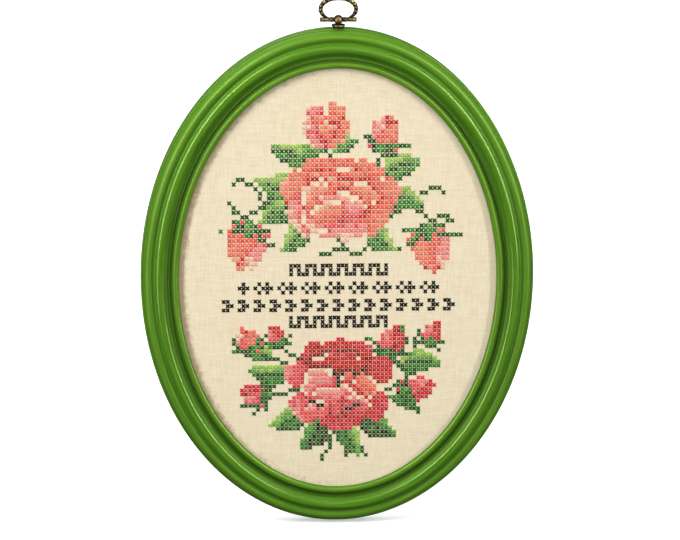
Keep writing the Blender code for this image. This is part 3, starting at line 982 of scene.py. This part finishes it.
def stitch_pieces(chart, name, origin, pitch, seed):
    """Join the chart's crosses into one piece for each floss, laid on the linen."""
    points, faces = leg_template()
    luck = random.Random(seed)
    by_floss = {}
    for cell in sorted(chart.cells):
        by_floss.setdefault(chart.cells[cell], []).append(cell)
    for floss in sorted(by_floss):
        all_points, all_ply, all_faces = [], [], []
        for column, row in by_floss[floss]:
            middle_x = origin[0] + column * pitch[0] + luck.uniform(-PLACE_LUCK, PLACE_LUCK) * pitch[0]
            middle_z = origin[1] + row * pitch[1] + luck.uniform(-PLACE_LUCK, PLACE_LUCK) * pitch[1]
            chance = luck.random()
            for leg, slope in enumerate((1.0, -1.0)):
                run = np.array((pitch[0], slope * pitch[1]))
                length = float(np.hypot(*run)) * (LEG_REACH + luck.uniform(-REACH_LUCK, REACH_LUCK))
                turn = math.atan2(run[1], run[0]) + luck.uniform(-TURN_LUCK, TURN_LUCK)
                width = FLOSS_WIDTH * (1.0 + luck.uniform(-WIDTH_LUCK, WIDTH_LUCK))
                along = points[:, 0] * length / 2
                side = points[:, 1] * width / 2
                arch = 1.0 - points[:, 0] ** 2
                out = points[:, 2] * FLOSS_THICKNESS / 2 + (BOW + leg * OVERLAP_LIFT) * arch - SINK
                x = middle_x + along * math.cos(turn) - side * math.sin(turn)
                z = middle_z + along * math.sin(turn) + side * math.cos(turn)
                base = len(all_points) * len(points)
                all_points.append(np.stack([x, CLOTH_Y - out, z], 1))
                ply = np.stack([points[:, 0], points[:, 1], np.full(len(points), chance)], 1)
                all_ply.append(ply)
                all_faces.extend([[base + i for i in face] for face in faces])
        mesh = bpy.data.meshes.new(name + "_" + floss)
        mesh.from_pydata(np.concatenate(all_points).tolist(), [], all_faces)
        mesh.shade_smooth()
        mesh.materials.append(floss_material(floss))
        point_attribute(mesh, "ply", np.concatenate(all_ply))
        piece = bpy.data.objects.new(name + "_" + floss, mesh)
        bpy.context.scene.collection.objects.link(piece)
        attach(piece, "root")


FLOSS = {
    "wine": srgb(138, 14, 28), "crimson": srgb(194, 30, 40), "cherry": srgb(200, 40, 60),
    "rose": srgb(222, 76, 86), "coral": srgb(230, 88, 74), "pink": srgb(242, 130, 128),
    "salmon": srgb(240, 118, 96), "peach": srgb(248, 154, 126), "blush": srgb(252, 190, 164),
    "night": srgb(9, 20, 8), "forest": srgb(8, 82, 22), "green": srgb(38, 128, 36),
    "fern": srgb(92, 158, 54), "moss": srgb(150, 190, 84),
}
FLOSS_MADE = {}


def floss_material(floss):
    """The material of one floss, made once."""
    if floss not in FLOSS_MADE:
        FLOSS_MADE[floss] = cotton_floss("floss_" + floss, FLOSS[floss])
    return FLOSS_MADE[floss]


# Camera, light and floor

def aim_camera():
    """Stand the camera where the photograph was taken."""
    azimuth = math.radians(CAMERA_AZIMUTH)
    back = way_out(CAMERA_AZIMUTH, CAMERA_ELEVATION)
    right = Vector((math.cos(azimuth), math.sin(azimuth), 0.0))
    up = back.cross(right)
    roll = Matrix.Rotation(math.radians(CAMERA_ROLL), 3, back)
    right, up = roll @ right, roll @ up
    aim = Vector((0.0, 0.0, CENTRE_Z))
    aim += right * (IMAGE_WIDTH / 2 - OVAL_CENTRE_PX[0]) / PIXELS_PER_METRE
    aim += up * (OVAL_CENTRE_PX[1] - IMAGE_HEIGHT / 2) / PIXELS_PER_METRE
    data = bpy.data.cameras.new("camera")
    data.sensor_width = SENSOR
    data.lens = SENSOR * CAMERA_DISTANCE * PIXELS_PER_METRE / IMAGE_WIDTH
    data.clip_start = 0.05
    data.clip_end = 50.0
    camera = bpy.data.objects.new("camera", data)
    bpy.context.scene.collection.objects.link(camera)
    facing = Matrix((right, up, back)).transposed().to_4x4()
    camera.matrix_world = Matrix.Translation(aim + back * CAMERA_DISTANCE) @ facing
    bpy.context.scene.camera = camera


LIGHTS = rows(("name", "azimuth", "elevation", "distance", "wide", "high", "watts", "glossy"), (
    ("left_fill", -57, 26, 1.5, 0.10, 1.3, 12.5, False),
    ("right_fill", 60, 6, 1.5, 0.10, 1.2, 11.0, False),
    ("front_fill", -8, 52, 1.7, 1.0, 0.7, 8.0, False),
    ("left_strip", -57, 19, 1.5, 0.26, 2.4, 74.0, True),
    ("right_strip", 60, 22, 1.5, 0.28, 1.8, 54.0, True),
    ("front_panel", -8, 54, 1.7, 1.6, 0.7, 5.5, True),
    ("floor_card", 0, -34, 1.2, 2.4, 0.7, 1.8, True),
    ("front_glint", 6, 20, 1.6, 0.16, 0.30, 1.6, True),
    ("back_fill", 165, 38, 1.6, 1.4, 0.9, 7.0, False),
    ("back_panel", 200, 40, 1.6, 0.9, 1.2, 4.0, True),
))
TOP_SUN = 1.52
TOP_SUN_SPREAD = 50.0
TOP_SUN_LEAN = 8.0
FLOOR_HALF = 6.0
FLOOR_DROP = 0.0006
ROOM_LIGHT = 0.35


def light_object(name, data, glossy):
    """A lamp that shows either in the diffuse light or in the reflections alone."""
    light = bpy.data.objects.new(name, data)
    light.visible_glossy = glossy
    light.visible_diffuse = not glossy
    bpy.context.scene.collection.objects.link(light)
    return light


def way_out(azimuth, elevation):
    """The direction from the object that azimuth and elevation give, in degrees."""
    azimuth, elevation = math.radians(azimuth), math.radians(elevation)
    return Vector((
        math.sin(azimuth) * math.cos(elevation),
        -math.cos(azimuth) * math.cos(elevation),
        math.sin(elevation),
    ))


def set_lights():
    """Strip boxes left and right, a broad soft light above, and a pale room round them."""
    target = Vector((0.0, 0.0, CENTRE_Z))
    for row in LIGHTS:
        out = way_out(row["azimuth"], row["elevation"])
        data = bpy.data.lights.new(row["name"], "AREA")
        data.shape = "RECTANGLE"
        data.size = row["wide"]
        data.size_y = row["high"]
        data.energy = row["watts"]
        light = light_object(row["name"], data, row["glossy"])
        light.location = target + out * row["distance"]
        light.rotation_euler = out.to_track_quat("Z", "Y").to_euler()
    sun = bpy.data.lights.new("top_light", "SUN")
    sun.energy = TOP_SUN
    sun.angle = math.radians(TOP_SUN_SPREAD)
    light_object("top_light", sun, False).rotation_euler = (math.radians(TOP_SUN_LEAN), 0.0, 0.0)
    world = bpy.data.worlds.new("pale_room")
    bpy.context.scene.world = world
    world.use_nodes = True
    world.cycles_visibility.glossy = False
    room = world.node_tree.nodes["Background"]
    room.inputs["Color"].default_value = (1.0, 1.0, 1.0, 1.0)
    room.inputs["Strength"].default_value = ROOM_LIGHT
    bpy.context.scene.view_settings.view_transform = "Standard"


def lay_floor():
    """A pale floor just under the frame, which takes no part in its reflections."""
    shape = bmesh.new()
    bmesh.ops.create_grid(shape, x_segments=1, y_segments=1, size=FLOOR_HALF)
    bmesh.ops.translate(shape, verts=shape.verts, vec=(0.0, 0.0, FLOOR_Z - FLOOR_DROP))
    mesh = bpy.data.meshes.new("floor")
    shape.to_mesh(mesh)
    shape.free()
    mesh.materials.append(pale_ground())
    floor = bpy.data.objects.new("floor", mesh)
    bpy.context.scene.collection.objects.link(floor)
    floor.visible_diffuse = False
    floor.visible_glossy = False


aim_camera()
set_lights()
lay_floor()
make_frame(green_lacquer())
linen = make_cloth(cream_linen())
BRASS = old_brass()
make_post(BRASS)
make_ring(BRASS)
make_pin(BRASS)

for spray in SPRAYS:
    stitch_pieces(
        spray["chart"](), spray["name"], (spray["x"], CENTRE_Z + spray["lift"]),
        (spray["wide"], spray["high"]), spray["seed"],
    )
for index, height in enumerate(BAND_HEIGHTS):
    name = "band_%d" % (index + 1)
    stitch_pieces(band(index), name, (BAND_X, CENTRE_Z + height), BAND_PITCH, FIRST_BAND_SEED + index)
